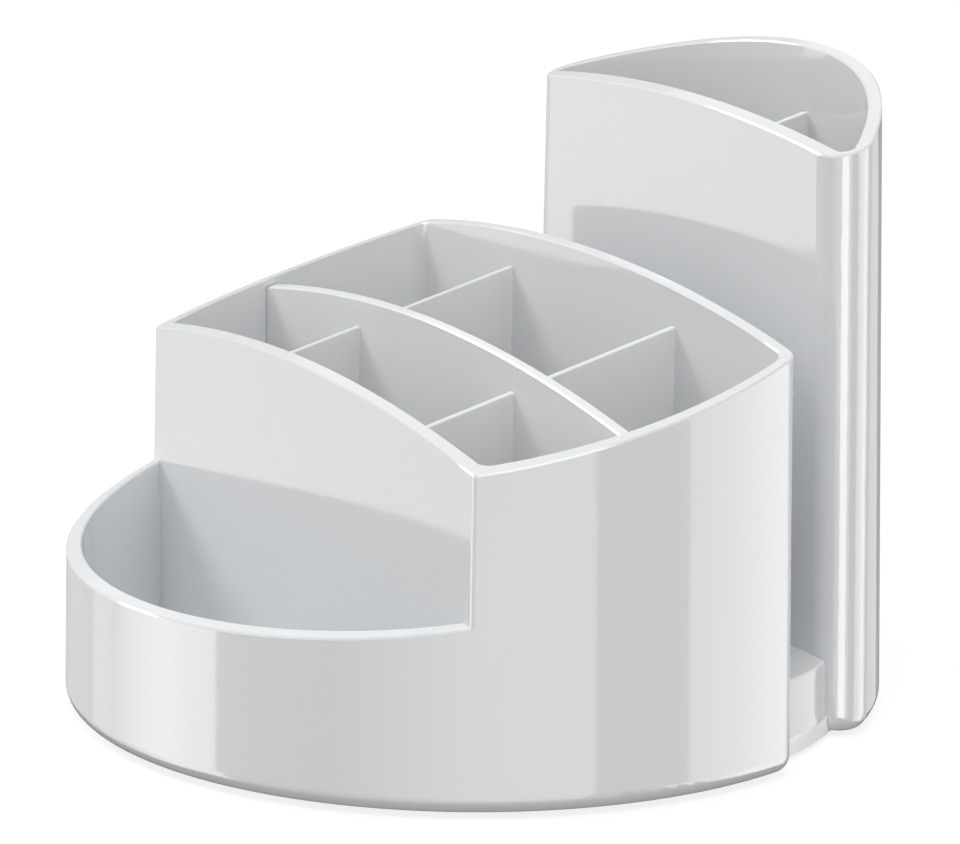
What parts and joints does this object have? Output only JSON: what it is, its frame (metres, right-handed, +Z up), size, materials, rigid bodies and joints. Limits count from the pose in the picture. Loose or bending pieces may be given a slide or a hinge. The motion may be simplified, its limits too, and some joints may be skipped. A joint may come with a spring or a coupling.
{
  "type": "desk caddy",
  "caption": "Round glossy plastic desk caddy: a low tray in front, a block of open compartments, a slot for notes and a tall pen tower behind, with arched tops that slope up to the back.",
  "frame": {"origin": "on the desk, below the axis of the round base", "axes": "+Z up, -Y towards the user, where the low tray is, and +X to the user's right"},
  "size_m": [0.1398, 0.1398, 0.1084],
  "materials": {
    "shell": "polished light grey moulding",
    "inner_wall": "light grey moulding, a little less polished",
    "base": "light grey moulding",
    "foot": "matt anti-slip pad"
  },
  "bodies": {
    "root": {"main_body": "shell", "pen_tower": "shell", "slot_bridge": "shell", "long_partition": "inner_wall", "front_left_divider": "inner_wall", "front_right_divider": "inner_wall", "rear_left_divider": "inner_wall", "rear_right_divider": "inner_wall", "tower_divider": "inner_wall", "base_plate": "base", "front_left_foot": "foot", "front_right_foot": "foot", "rear_left_foot": "foot", "rear_right_foot": "foot"}
  },
  "joints": []
}
